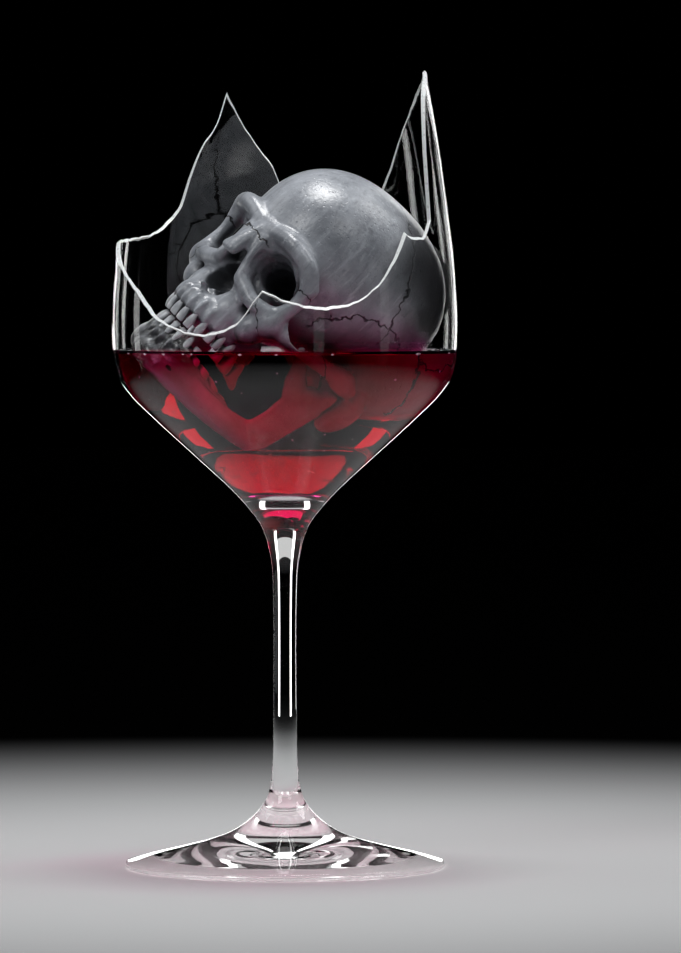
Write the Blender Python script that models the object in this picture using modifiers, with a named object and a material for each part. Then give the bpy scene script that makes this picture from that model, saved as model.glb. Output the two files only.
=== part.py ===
"""Broken wine glass: a stemmed glass whose rim is broken into spikes, wine to the widest part of its bowl,
and a miniature skull and jaw lying in the wine.

Metres, +Z up, origin at the middle of the foot's underside."""

import math

import bmesh
import bpy
from mathutils import Euler, Matrix, Vector

MM = 0.001

# Glass, in millimetres.
FOOT_RADIUS = 46.2
FOOT_EDGE = 2.3          # thickness of the foot at its edge
FOOT_RING = 37.0         # inner radius of the flat ring that the glass stands on
FOOT_HOLLOW = 0.8        # rise of the underside at its middle
WALL = 1.2
BOWL_FLOOR = 108.0       # height of the inside of the bowl at its middle
FLOOR_EDGE = 110.0       # height on the outside where the floor of the bowl meets its wall
RIM_HEIGHT = 236.0       # where the whole rim was
FLOOR_PARTS = [0.0, 0.5, 0.75, 0.9]      # points across the floor of the bowl, as parts of its radius
HOLLOW_PARTS = [0.6, 0.3, 0.0]           # points across the hollow under the foot, as parts of its radius
GLASS_STEPS = 60
SLOPE_REACH = 0.05       # the slope of the outer line is taken over this much height to each side

# Outer line of the glass above the foot's edge, as (height, radius): foot, fillet, stem, flare, cone, wall.
OUTER_LINE = [
    (2.3, 45.4), (9.6, 17.3), (13.5, 10.9), (17.3, 7.1), (21.3, 4.9), (25.6, 4.0), (37.0, 3.4), (66.0, 3.2),
    (84.0, 3.5), (93.6, 5.0), (98.8, 6.8), (103.4, 10.1), (108.6, 14.8), (117.8, 24.8), (130.8, 39.0),
    (136.2, 44.4), (142.0, 48.2), (148.0, 49.6), (156.7, 50.0), (172.5, 49.2), (195.6, 46.5), (212.3, 44.1),
    (RIM_HEIGHT, 39.4),
]

# The broken edge as (angle in degrees from +X, height), one list for each curve between two sharp corners.
BROKEN_EDGE = [
    [(180, 180.8), (212, 167), (226, 158.3), (242, 154.6), (253, 157), (263, 167)],
    [(263, 167), (272, 163.8), (282, 162.3), (292, 163.2), (302, 168), (311, 177), (316, 183.4)],
    [(316, 183.4), (320, 181.9), (325, 182), (331, 187)],
    [(331, 187), (334, 207), (339.5, 219.5), (345, 225), (360, 230)],
    [(360, 230), (369, 228), (380, 224.6), (397, 214), (410, 198.5)],
    [(410, 198.5), (420, 187), (433, 180), (446, 187), (455, 203)],
    [(455, 203), (465, 213), (475, 224.5)],
    [(475, 224.5), (478, 216), (484, 208.7), (488, 201), (492, 191), (508, 182.6), (540, 180.8)],
]
EDGE_STEP = 4.0          # degrees between the points of the broken edge
CUTTER_INNER = 25.0      # inner radius of the ring that takes the lost glass away
CUTTER_OUTER = 60.0
CUTTER_TOP = 245.0

# Wine.
WINE_LEVEL = 148.8
GAP = 0.3                # space kept between the wine and the glass
WINE_CLEAR = 1.0         # space between the wine and the bones, before their skin is simplified
ROOM_VOXEL = 1.3         # grain of that skin
ROOM_FACES = 0.16        # share of its faces that are kept

# Skull and jaw: life-size measures times BONE_SCALE. Their own axes are +X left, +Y back, +Z up, with the
# origin between the ears on the line through the lower rims of the eye sockets.
BONE_SCALE = 0.41
BONE_PLACE = (4.2, 5.0, 155.0)
BONE_TURN = 45.0         # the face looks this far round towards -X from -Y
BONE_TIP = 45.0          # the crown leans this far over towards +X
BONE_VOXEL = 1.3         # grain of the bones' skin
SKULL_FACES = 0.14       # share of its faces that are kept
JAW_FACES = 0.20
CASE_CENTRE = (0.0, -12.0, 47.0)
CASE_HALF = (66.0, 85.0, 66.0)
CASE_FULLNESS = 2.25     # 2 is an ellipsoid, more is squarer
CASE_FLARE = 0.09        # how much wider the case is at its back, and narrower at its front
TEMPLE_DEPTH = 0.13      # how far the temples are pressed in, as a part of the width
SOCKET_STEPS = 6         # eye sockets narrow inwards in this many steps
SOCKET_TAPER = 0.13

# Half of the row of teeth, from the middle to the back, as (across, back from the front, half width).
TOOTH_ARCH = [
    (4.2, 0.0, 4.2), (12.5, 1.5, 3.6), (20.0, 6.5, 3.8), (25.0, 13.5, 3.6), (28.0, 20.5, 3.6),
    (30.0, 29.5, 4.8), (31.0, 39.5, 4.8), (31.0, 48.5, 4.4),
]
TOOTH_LENGTH = 9.0
TOOTH_DEPTH = 0.6        # how much thicker a tooth is from front to back than it is wide
TOOTH_ROOT = 2.5         # how far a tooth reaches beyond its length at each end, into the gum


def clear_scene():
    for old in list(bpy.data.objects):
        bpy.data.objects.remove(old, do_unlink=True)


def new_collection(name):
    collection = bpy.data.collections.new(name)
    bpy.context.scene.collection.children.link(collection)
    return collection


def new_object(name, mesh, collection):
    obj = bpy.data.objects.new(name, mesh)
    collection.objects.link(obj)
    return obj


def set_material(obj, colour, roughness, transmission=0.0, ior=1.5):
    material = bpy.data.materials.new(obj.name)
    material.use_nodes = True
    shader = material.node_tree.nodes["Principled BSDF"]
    shader.inputs["Base Color"].default_value = (*colour, 1.0)
    shader.inputs["Roughness"].default_value = roughness
    shader.inputs["Metallic"].default_value = 0.0
    shader.inputs["Transmission Weight"].default_value = transmission
    shader.inputs["IOR"].default_value = ior
    obj.data.materials.clear()
    obj.data.materials.append(material)


def hide_cutter(obj):
    obj.hide_render = True
    obj.display_type = "WIRE"


# ---- curves --------------------------------------------------------------------------------------

def smooth_value(points, at):
    """Value at `at` on a smooth curve through (place, value) points that never swings past a point."""
    spans = [(b[0] - a[0], (b[1] - a[1]) / (b[0] - a[0])) for a, b in zip(points, points[1:])]
    index = 0
    while index < len(spans) - 1 and at > points[index + 1][0]:
        index += 1

    def slope(i):
        if i == 0 or i == len(points) - 1:
            return spans[min(i, len(spans) - 1)][1]
        (w0, s0), (w1, s1) = spans[i - 1], spans[i]
        if s0 * s1 <= 0:
            return 0.0
        return 3 * (w0 + w1) / ((2 * w1 + w0) / s0 + (w1 + 2 * w0) / s1)

    width = spans[index][0]
    t = (at - points[index][0]) / width
    start, end = points[index][1], points[index + 1][1]
    return ((2 * t ** 3 - 3 * t ** 2 + 1) * start + (t ** 3 - 2 * t ** 2 + t) * width * slope(index)
            + (3 * t ** 2 - 2 * t ** 3) * end + (t ** 3 - t ** 2) * width * slope(index + 1))


def outer_heights():
    """Heights of the points on the outer line, closer together where it bends more."""
    zones = [(FOOT_EDGE, 9.6, 1), (9.6, 25.6, 6), (25.6, 84.0, 2), (84.0, FLOOR_EDGE, 6),
             (FLOOR_EDGE, 130.8, 3), (130.8, 156.7, 6), (156.7, RIM_HEIGHT, 5)]
    heights = [zones[0][0]]
    for low, high, count in zones:
        heights += [low + (high - low) * (i + 1) / count for i in range(count)]
    return heights


def bowl_line(inset):
    """Line of the bowl's inside at a depth `inset` under the outer surface, from the axis up to the rim."""
    wall = []
    for height in outer_heights():
        if height < FLOOR_EDGE:
            continue
        low, high = height - SLOPE_REACH, min(height + SLOPE_REACH, RIM_HEIGHT)
        slope = (smooth_value(OUTER_LINE, high) - smooth_value(OUTER_LINE, low)) / (high - low)
        reach = math.hypot(1.0, slope)
        wall.append((smooth_value(OUTER_LINE, height) - inset / reach, height + inset * slope / reach))
    edge_radius, edge_height = wall[0]
    floor = BOWL_FLOOR + inset - WALL
    dish = [(edge_radius * part, floor + (edge_height - floor) * part ** 4) for part in FLOOR_PARTS]
    return dish + wall


def turned(name, profile, steps, collection):
    """Solid turned about Z from a profile of (radius, height) points in millimetres."""
    mesh = bpy.data.meshes.new(name)
    verts = [(radius * MM, 0.0, height * MM) for radius, height in profile]
    mesh.from_pydata(verts, [(i, i + 1) for i in range(len(verts) - 1)], [])
    obj = new_object(name, mesh, collection)
    screw = obj.modifiers.new("turn", "SCREW")
    screw.axis = "Z"
    screw.steps = steps
    screw.render_steps = steps
    screw.use_merge_vertices = True
    screw.merge_threshold = 0.00005
    screw.use_smooth_shade = True
    return obj


# ---- glass ---------------------------------------------------------------------------------------

def glass_profile():
    inside = bowl_line(WALL)
    outside = [(smooth_value(OUTER_LINE, height), height) for height in reversed(outer_heights())]
    half = FOOT_EDGE / 2
    round_angles = [math.radians(degrees) for degrees in (45, 0, -45, -90)]
    edge = [(FOOT_RADIUS - half + half * math.cos(a), half + half * math.sin(a)) for a in round_angles]
    under = [(FOOT_RING, 0.0)]
    under += [(FOOT_RING * part, FOOT_HOLLOW * (1 - part ** 2)) for part in HOLLOW_PARTS]
    return inside + outside + edge + under


def broken_edge_points():
    """(angle, height) all the way round the broken edge, with every sharp corner kept."""
    points = []
    for curve in BROKEN_EDGE:
        start, end = curve[0][0], curve[-1][0]
        count = max(2, round((end - start) / EDGE_STEP))
        angles = [start + (end - start) * i / count for i in range(count)]
        points += [(angle, smooth_value(curve, angle)) for angle in angles]
    return points


def make_break_cutter(collection):
    """Ring whose underside follows the broken edge: it takes away the lost part of the bowl."""
    shape = bmesh.new()
    rings = []
    for angle, height in broken_edge_points():
        a = math.radians(angle)
        corners = [(CUTTER_INNER, height), (CUTTER_OUTER, height), (CUTTER_OUTER, CUTTER_TOP),
                   (CUTTER_INNER, CUTTER_TOP)]
        round_z = Matrix.Rotation(a, 3, "Z")
        rings.append([shape.verts.new(round_z @ Vector((r * MM, 0.0, z * MM))) for r, z in corners])
    for here, there in zip(rings, rings[1:] + rings[:1]):
        for i in range(4):
            j = (i + 1) % 4
            shape.faces.new((here[i], there[i], there[j], here[j]))
    bmesh.ops.recalc_face_normals(shape, faces=shape.faces)
    mesh = bpy.data.meshes.new("break_cutter")
    shape.to_mesh(mesh)
    shape.free()
    cutter = new_object("break_cutter", mesh, collection)
    hide_cutter(cutter)
    return cutter


def make_glass(parts, cutters):
    glass = turned("wine_glass", glass_profile(), GLASS_STEPS, parts)
    cut = glass.modifiers.new("break", "BOOLEAN")
    cut.operation = "DIFFERENCE"
    cut.solver = "EXACT"
    cut.object = make_break_cutter(cutters)
    set_material(glass, (0.95, 0.97, 0.97), 0.02, transmission=1.0, ior=1.52)
    return glass


# ---- bone ----------------------------------------------------------------------------------------

def lump(clay, centre, radii, turn=(0, 0, 0)):
    """Ellipsoid added to the clay, a list of places for balls; life-size millimetres and degrees."""
    place = Matrix.Translation(Vector(centre)) @ Euler([math.radians(d) for d in turn]).to_matrix().to_4x4()
    clay.append(place @ Matrix.Diagonal((*radii, 1.0)))


def pair(clay, centre, radii, turn=(0, 0, 0)):
    """The same lump on both sides of the middle plane."""
    for side in (1, -1):
        lump(clay, (side * centre[0], centre[1], centre[2]), radii, (turn[0], side * turn[1], side * turn[2]))


def strand(clay, points, radii, count):
    """Row of lumps close together along a curve through the points, on both sides."""
    spans = len(points) - 1
    for i in range(count + 1):
        at = spans * i / count
        place = [smooth_value(list(enumerate(c[axis] for c in points)), at) for axis in range(3)]
        size = [smooth_value(list(enumerate(r[axis] for r in radii)), at) for axis in range(3)]
        pair(clay, place, size)


def clay_object(name, clay, collection, voxel, smoothing, core=None):
    """One closed skin, smoothed, round a ball at each place in the clay and round the core."""
    shape = core or bmesh.new()
    ball = bmesh.new()
    bmesh.ops.create_uvsphere(ball, u_segments=20, v_segments=12, radius=1.0)
    unit = bpy.data.meshes.new("ball")
    ball.to_mesh(unit)
    ball.free()
    for place in clay:
        copy = unit.copy()
        copy.transform(place)
        shape.from_mesh(copy)
        bpy.data.meshes.remove(copy)
    bpy.data.meshes.remove(unit)
    mesh = bpy.data.meshes.new(name)
    shape.to_mesh(mesh)
    shape.free()
    mesh.transform(Matrix.Scale(BONE_SCALE * MM, 4))
    obj = new_object(name, mesh, collection)
    add_skin(obj, voxel, smoothing)
    return obj


def add_skin(obj, voxel, smoothing):
    skin = obj.modifiers.new("skin", "REMESH")
    skin.mode = "VOXEL"
    skin.voxel_size = voxel * MM
    soft = obj.modifiers.new("soften", "SMOOTH")
    soft.factor = 0.5
    soft.iterations = smoothing


def carve(obj, cutter):
    cut = obj.modifiers.new("carve", "BOOLEAN")
    cut.operation = "DIFFERENCE"
    cut.solver = "EXACT"
    cut.object = cutter
    hide_cutter(cutter)


def place_bone(obj):
    """Turn and tip the bone, and lay it in the bowl."""
    turn = Matrix.Rotation(math.radians(-BONE_TURN), 4, "Z")
    tip = Matrix.Rotation(math.radians(BONE_TIP), 4, "Y")
    obj.matrix_world = Matrix.Translation([c * MM for c in BONE_PLACE]) @ tip @ turn


def teeth(clay, front, middle, inset):
    """Eight teeth a side, each an upright lump on the arch, half way up at `middle`."""
    arch_width = TOOTH_ARCH[-1][0]
    for across, back, half_width in TOOTH_ARCH:
        pair(clay, (across - inset * across / arch_width, front + back + inset, middle),
             (half_width, half_width + TOOTH_DEPTH, TOOTH_LENGTH / 2 + TOOTH_ROOT))


def braincase():
    """Egg-shaped case: wider behind than in front, fuller than an ellipsoid, with shallow temples."""
    case = bmesh.new()
    bmesh.ops.create_uvsphere(case, u_segments=40, v_segments=24, radius=1.0)
    for vert in case.verts:
        unit = vert.co.normalized()
        fuller = sum(abs(c) ** CASE_FULLNESS for c in unit) ** (-1 / CASE_FULLNESS)
        x, y, z = unit * fuller
        x, y, z = x * CASE_HALF[0] * (1 + CASE_FLARE * y), y * CASE_HALF[1], z * CASE_HALF[2]
        y, z = y + CASE_CENTRE[1], z + CASE_CENTRE[2]
        temple = math.exp(-((y + 60) / 20) ** 2 - ((z - 14) / 26) ** 2)
        under = max(0.0, y - 30) / 55 * max(0.0, 14 - z) / 34
        vert.co = (x * (1 - TEMPLE_DEPTH * temple), y - 9 * under, z + 14 * under)
    return case


def make_skull(parts, cutters):
    clay = []
    lump(clay, (0, -40, -6), (26, 36, 22))            # middle of the base, behind the face
    pair(clay, (51, 9, -13), (9, 12, 18))             # mastoid
    pair(clay, (13, -42, -26), (5, 9, 16))            # pterygoid plate
    lump(clay, (0, -92, 37), (17, 8, 9))              # between the brows
    strand(clay, [(9, -93, 37), (26, -93, 40), (43, -84, 37), (51, -73, 26)],
           [(9, 8, 7), (9, 8, 7), (8, 8, 7), (7, 7, 7)], 12)
    strand(clay, [(51, -73, 27), (51, -71, 12), (49, -74, -2)], [(5, 8, 6), (4.5, 7, 6), (6, 7, 6)], 7)
    strand(clay, [(49, -74, -4), (34, -86, -8), (17, -91, -3)], [(7, 7, 6), (7, 6, 6), (7, 6, 6)], 8)
    strand(clay, [(15, -91, -2), (11, -93, 14), (9, -94, 28)], [(5, 8, 6), (4.5, 8, 6), (6, 8, 6)], 6)
    pair(clay, (46, -72, -10), (11, 12, 12))          # cheekbone
    pair(clay, (37, -72, -22), (10, 12, 12))
    strand(clay, [(52, -66, -9), (62, -50, -8), (66, -30, -5), (60, -8, -1)],
           [(4, 8, 8), (3.5, 8, 6), (3.5, 8, 5), (6, 9, 6)], 12)
    lump(clay, (0, -68, -12), (29, 24, 26))           # upper jaw
    pair(clay, (15, -80, -25), (15, 13, 18))
    strand(clay, [(0, -94, -35), (12, -91, -35), (22, -82, -35), (27, -66, -35), (29, -50, -33)],
           [(8, 6, 10), (8, 6, 10), (7, 7, 10), (6, 8, 10), (6, 8, 9)], 14)
    strand(clay, [(0, -96, 32), (1, -101, 20), (1.5, -107, 8)], [(6, 6, 6), (5.5, 6, 6), (6.5, 5, 4)], 6)
    teeth(clay, front=-97.0, middle=-47.5, inset=0.0)
    skull = clay_object("skull", clay, parts, BONE_VOXEL, 3, braincase())

    hollows = []
    for depth in range(SOCKET_STEPS):                 # eye sockets
        reach = 1.0 - SOCKET_TAPER * depth
        pair(hollows, (32.5 - 2.6 * depth, -96 + 9 * depth, 16 - 0.5 * depth),
             (20 * reach, 14, 17 * reach), (0, 12, -12))
    pair(hollows, (5.2, -96, -14), (7.2, 24, 9.5))    # opening of the nose
    lump(hollows, (0, -96, -5), (6.8, 24, 12))
    lump(hollows, (0, -60, -50), (19, 30, 18))        # palate
    lump(hollows, (0, 12, -28), (15, 18, 14))         # opening for the spine
    carve(skull, clay_object("skull_hollows", hollows, cutters, BONE_VOXEL, 2))
    add_skin(skull, BONE_VOXEL, 1)
    thin = skull.modifiers.new("thin", "DECIMATE")
    thin.ratio = SKULL_FACES
    place_bone(skull)
    set_material(skull, (0.55, 0.57, 0.60), 0.5)
    return skull


def make_jaw(parts):
    clay = []
    strand(clay, [(0, -90, -80), (14, -88, -79), (30, -74, -76), (42, -45, -72), (48, -14, -66)],
           [(9, 7, 10), (9, 7, 10), (6, 8, 11), (5.5, 9, 12), (5, 9, 12)], 20)
    strand(clay, [(0, -90, -66), (13, -88, -66), (23, -78, -66), (28, -62, -66), (33, -44, -65)],
           [(7, 6, 7)] * 4 + [(5, 7, 8)], 14)
    lump(clay, (0, -94, -83), (13, 6, 8))             # chin
    strand(clay, [(48, -16, -62), (50, -16, -40), (51, -12, -24)],
           [(4.5, 15, 12), (4, 15, 12), (4, 12, 12)], 8)
    strand(clay, [(51, -10, -24), (52, -8, -10)], [(4, 7, 8), (9, 5, 4.5)], 4)      # hinge knuckle
    strand(clay, [(50, -26, -24), (48, -33, -9)], [(3.5, 8, 8), (3, 4, 4)], 4)      # blade in front of it
    teeth(clay, front=-96.0, middle=-59.5, inset=2.0)
    jaw = clay_object("jaw", clay, parts, BONE_VOXEL, 3)
    thin = jaw.modifiers.new("thin", "DECIMATE")
    thin.ratio = JAW_FACES
    place_bone(jaw)
    set_material(jaw, (0.55, 0.57, 0.60), 0.5)
    return jaw


# ---- wine ----------------------------------------------------------------------------------------

def make_bone_room(bones, collection):
    """Closed skin round skull and jaw together, a little clear of both: the room that they take in the wine."""
    graph = bpy.context.evaluated_depsgraph_get()
    shape = bmesh.new()
    for bone in bones:
        copy = bpy.data.meshes.new_from_object(bone.evaluated_get(graph))
        copy.transform(bone.matrix_world)
        shape.from_mesh(copy)
        bpy.data.meshes.remove(copy)
    mesh = bpy.data.meshes.new("bone_room")
    shape.to_mesh(mesh)
    shape.free()
    room = new_object("bone_room", mesh, collection)
    grow = room.modifiers.new("clear", "DISPLACE")
    grow.strength = WINE_CLEAR * MM
    grow.mid_level = 0.0
    add_skin(room, ROOM_VOXEL, 1)
    thin = room.modifiers.new("thin", "DECIMATE")
    thin.ratio = ROOM_FACES
    return room


def make_wine(parts, cutters, bones):
    below = [point for point in bowl_line(WALL + GAP) if point[1] < WINE_LEVEL]
    top_radius = smooth_value(OUTER_LINE, WINE_LEVEL) - WALL - GAP
    profile = [(0.0, WINE_LEVEL), (top_radius, WINE_LEVEL)] + below[::-1]
    wine = turned("red_wine", profile, GLASS_STEPS, parts)
    carve(wine, make_bone_room(bones, cutters))
    set_material(wine, (0.25, 0.005, 0.02), 0.05, transmission=0.6, ior=1.34)
    return wine


def main():
    clear_scene()
    parts = new_collection("broken_wine_glass")
    cutters = new_collection("cutters")
    make_glass(parts, cutters)
    skull = make_skull(parts, cutters)
    jaw = make_jaw(parts)
    bpy.context.view_layer.update()
    make_wine(parts, cutters, [skull, jaw])


main()
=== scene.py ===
import math

import bpy
from mathutils import Matrix, Vector


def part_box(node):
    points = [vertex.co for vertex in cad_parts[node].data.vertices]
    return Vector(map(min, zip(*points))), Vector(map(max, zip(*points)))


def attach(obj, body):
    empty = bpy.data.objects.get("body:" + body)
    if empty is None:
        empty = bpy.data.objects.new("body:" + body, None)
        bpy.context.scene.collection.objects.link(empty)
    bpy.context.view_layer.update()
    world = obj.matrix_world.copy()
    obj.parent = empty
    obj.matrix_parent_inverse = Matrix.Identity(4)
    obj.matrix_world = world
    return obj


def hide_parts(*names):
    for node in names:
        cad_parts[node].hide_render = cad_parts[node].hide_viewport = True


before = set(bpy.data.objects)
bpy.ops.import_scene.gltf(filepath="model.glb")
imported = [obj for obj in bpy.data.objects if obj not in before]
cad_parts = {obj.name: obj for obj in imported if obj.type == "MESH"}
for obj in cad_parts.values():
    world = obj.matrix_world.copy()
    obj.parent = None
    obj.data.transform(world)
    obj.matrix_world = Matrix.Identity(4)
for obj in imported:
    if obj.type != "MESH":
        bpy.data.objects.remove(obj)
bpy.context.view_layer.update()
MM = 0.001


# ------------------------------------------------------------------------------------------------------------
# Studio. A long-lens camera level with the bowl, a pale table top whose colour is painted dark further out as
# painted shade of a dark room, soft panels overhead and at the corners, and narrow strips behind and beside the
# glass that draw its edges in light.
# ------------------------------------------------------------------------------------------------------------

def deselect_all():
    if bpy.context.object and bpy.context.object.mode != "OBJECT":
        bpy.ops.object.mode_set(mode="OBJECT")
    bpy.ops.object.select_all(action="DESELECT")


def aim(obj, target):
    obj.rotation_euler = (Vector(target) - obj.location).to_track_quat("-Z", "Y").to_euler()


deselect_all()
camera_distance = 1.9
camera_height = 0.179
view_centre = (0.016, 0.0, 0.113)
bpy.ops.object.camera_add(location=(view_centre[0], -camera_distance, camera_height))
camera = bpy.context.object
camera.name = "camera"
camera.data.sensor_width = 36.0
camera.data.lens = 249.0
camera.data.clip_start = 0.05
aim(camera, view_centre)
bpy.context.scene.camera = camera
bpy.context.scene.view_settings.view_transform = "Standard"
bpy.context.scene.cycles.glossy_bounces = 12            # light runs round inside the foot before it comes out


def soft_panel(name, place, target, width, height, brightness):
    """A soft box whose face is `brightness` times white."""
    bpy.ops.object.light_add(type="AREA", location=place)
    lamp = bpy.context.object
    lamp.name = name
    lamp.data.shape = "RECTANGLE"
    lamp.data.size = width
    lamp.data.size_y = height
    lamp.data.energy = brightness * math.pi * width * height
    lamp.visible_camera = False
    aim(lamp, target)
    return lamp


strip_distance = 0.50
strips = []
for corner, brightness in ((-68, 0.45), (-22, 0.5), (68, 2.8), (112, 2.8), (157, 2.4), (202, 0.9)):
    angle = math.radians(corner)
    strips.append(soft_panel(
        f"strip_{corner}", (strip_distance * math.cos(angle), strip_distance * math.sin(angle), 0.222),
        (0.0, 0.0, 0.222), 0.06, 0.44, brightness))
strips.append(soft_panel("low_panel", (0.0, 1.30, 0.42), (0.0, 0.0, 0.0), 1.2, 0.25, 0.6))
strips.append(soft_panel("back_panel", (0.05, 0.55, 1.30), (0.0, 0.0, 0.15), 1.1, 1.0, 2.2))
low_strips = []                                         # slanted as the cone of the bowl is, for its outline
for side in (-1, 1):
    low_strips.append(soft_panel(f"low_strip_{side}", (side * 0.085, 0.50, 0.045), (0.0, 0.0, 0.115),
                                 0.035, 0.12, 3.0))
    low_strips[-1].rotation_euler.rotate_axis("Z", side * math.radians(45.0))
    low_strips[-1].visible_transmission = False
soft_panel("top_panel", (0.05, 0.08, 1.40), (0.0, 0.0, 0.15), 0.5, 0.5, 13.0).visible_transmission = False
soft_panel("key_panel", (-0.75, -0.95, 1.15), (0.0, 0.0, 0.15), 0.6, 0.6, 4.2)
soft_panel("left_panel", (-0.95, 0.20, 1.15), (0.0, 0.0, 0.05), 0.7, 0.5, 1.2)
soft_panel("right_panel", (0.95, 0.20, 1.15), (0.0, 0.0, 0.05), 0.7, 0.5, 3.0)
soft_panel("front_panel", (0.65, -1.05, 0.95), (0.0, 0.0, 0.13), 0.5, 0.5, 2.2)

room = bpy.data.worlds.new("dark_room")
bpy.context.scene.world = room
room.use_nodes = True
nodes, links = room.node_tree.nodes, room.node_tree.links
nodes.clear()
path = nodes.new("ShaderNodeLightPath")
unscattered = nodes.new("ShaderNodeMath")               # seen straight, in a reflection or through the glass
unscattered.operation = "LESS_THAN"
unscattered.inputs[1].default_value = 0.5
links.new(path.outputs["Diffuse Depth"], unscattered.inputs[0])
fill = nodes.new("ShaderNodeBackground")
fill.inputs["Color"].default_value = (0.85, 0.9, 1.0, 1.0)
fill.inputs["Strength"].default_value = 0.22
dark = nodes.new("ShaderNodeBackground")
dark.inputs["Color"].default_value = (0.0, 0.0, 0.0, 1.0)
choose = nodes.new("ShaderNodeMixShader")
links.new(unscattered.outputs[0], choose.inputs["Fac"])
links.new(fill.outputs[0], choose.inputs[1])
links.new(dark.outputs[0], choose.inputs[2])
output = nodes.new("ShaderNodeOutputWorld")
links.new(choose.outputs[0], output.inputs["Surface"])


# Table top: a pale matt board, whose colour is painted darker further out, to near black, as painted shade
# where the light would not reach.
def new_material(name):
    material = bpy.data.materials.new(name)
    material.use_nodes = True
    shader = material.node_tree.nodes["Principled BSDF"]
    return material, material.node_tree.nodes, material.node_tree.links, shader


def new_node(nodes, kind, **settings):
    """A node, with its sockets and its own settings given by name."""
    node = nodes.new(kind)
    for key, value in settings.items():
        if key in node.inputs:
            node.inputs[key].default_value = value
        else:
            setattr(node, key, value)
    return node


def range_node(nodes, links, source, low, high, to_low=0.0, to_high=1.0, smooth=True):
    """The source, stretched from one range to another and held at its ends."""
    node = nodes.new("ShaderNodeMapRange")
    node.interpolation_type = "SMOOTHSTEP" if smooth else "LINEAR"
    node.inputs["From Min"].default_value = low
    node.inputs["From Max"].default_value = high
    node.inputs["To Min"].default_value = to_low
    node.inputs["To Max"].default_value = to_high
    links.new(source, node.inputs["Value"])
    return node.outputs["Result"]


def mix_colour(nodes, links, factor, first, second):
    """From the first colour to the second, by the factor."""
    node = nodes.new("ShaderNodeMix")
    node.data_type = "RGBA"
    links.new(factor, node.inputs["Factor"])
    for name, value in (("A", first), ("B", second)):
        if isinstance(value, tuple):
            node.inputs[name].default_value = (*value, 1.0)
        else:
            links.new(value, node.inputs[name])
    return node.outputs["Result"]


bpy.ops.mesh.primitive_plane_add(size=8.0, location=(0.0, 0.0, 0.0))
floor = bpy.context.object
floor.name = "table_top"
material, nodes, links, shader = new_material("pale_board")
coords = nodes.new("ShaderNodeTexCoord")
distance = new_node(nodes, "ShaderNodeVectorMath", operation="LENGTH")
links.new(coords.outputs["Object"], distance.inputs[0])
# Painted shade: the board's colour goes from pale to near black between 0.11 and 0.52 m from the middle.
painted_far_shade = range_node(nodes, links, distance.outputs["Value"], 0.11, 0.52)
links.new(mix_colour(nodes, links, painted_far_shade, (0.50, 0.50, 0.497), (0.0004, 0.0004, 0.0004)),
          shader.inputs["Base Color"])
shader.inputs["Roughness"].default_value = 0.8
shader.inputs["Specular IOR Level"].default_value = 0.0
floor.data.materials.append(material)

# The strips are there for the edges of the glass: they leave the table top and the bones alone.
shaded = bpy.data.collections.new("shaded_from_strips")
for strip in strips + low_strips:
    strip.light_linking.receiver_collection = shaded
    strip.visible_glossy = strip in low_strips


def shade_from_strips(obj):
    shaded.objects.link(obj)
    for entry in shaded.collection_objects:
        entry.light_linking.link_state = "EXCLUDE"


shade_from_strips(floor)


# ------------------------------------------------------------------------------------------------------------
# The glass. Foot, stem and bowl are one piece of clear glass: the bowl is blown, the stem is drawn from it and
# the foot is spun on. It is turned here from its section, and the lost part of the bowl is cut away afterwards.
# ------------------------------------------------------------------------------------------------------------

foot_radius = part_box("wine_glass")[1].x * 0.924 / MM
foot_edge = 2.3
foot_ring = 37.0
foot_hollow = 0.8
wall = 1.2
bowl_floor = 108.0
floor_edge = 110.0
rim_height = 236.0
glass_steps = 256
outer_line = [
    (2.3, 45.4), (9.6, 17.3), (13.5, 10.9), (17.3, 7.1), (21.3, 4.9), (25.6, 4.0), (37.0, 3.4), (66.0, 3.2),
    (84.0, 3.5), (93.6, 5.0), (98.8, 6.8), (103.4, 10.1), (108.6, 14.8), (117.8, 24.8), (130.8, 39.0),
    (136.2, 44.4), (142.0, 48.2), (148.0, 49.6), (156.7, 50.0), (172.5, 49.2), (195.6, 46.5), (212.3, 44.1),
    (rim_height, 39.4),
]


def smooth_value(points, at):
    """Value at `at` on a smooth curve through (place, value) points that never swings past a point."""
    spans = [(b[0] - a[0], (b[1] - a[1]) / (b[0] - a[0])) for a, b in zip(points, points[1:])]
    index = 0
    while index < len(spans) - 1 and at > points[index + 1][0]:
        index += 1

    def slope(i):
        if i == 0 or i == len(points) - 1:
            return spans[min(i, len(spans) - 1)][1]
        (w0, s0), (w1, s1) = spans[i - 1], spans[i]
        if s0 * s1 <= 0:
            return 0.0
        return 3 * (w0 + w1) / ((2 * w1 + w0) / s0 + (w1 + 2 * w0) / s1)

    width = spans[index][0]
    t = (at - points[index][0]) / width
    start, end = points[index][1], points[index + 1][1]
    return ((2 * t ** 3 - 3 * t ** 2 + 1) * start + (t ** 3 - 2 * t ** 2 + t) * width * slope(index)
            + (3 * t ** 2 - 2 * t ** 3) * end + (t ** 3 - t ** 2) * width * slope(index + 1))


def steps_between(low, high, count):
    return [low + (high - low) * (i + 1) / count for i in range(count)]


outer_heights = [foot_edge] + steps_between(foot_edge, 9.6, 4) + steps_between(9.6, 25.6, 20)
outer_heights += steps_between(25.6, 84.0, 12) + steps_between(84.0, floor_edge, 24)
outer_heights += steps_between(floor_edge, 130.8, 12) + steps_between(130.8, 156.7, 22)
outer_heights += steps_between(156.7, rim_height, 20)


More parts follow.
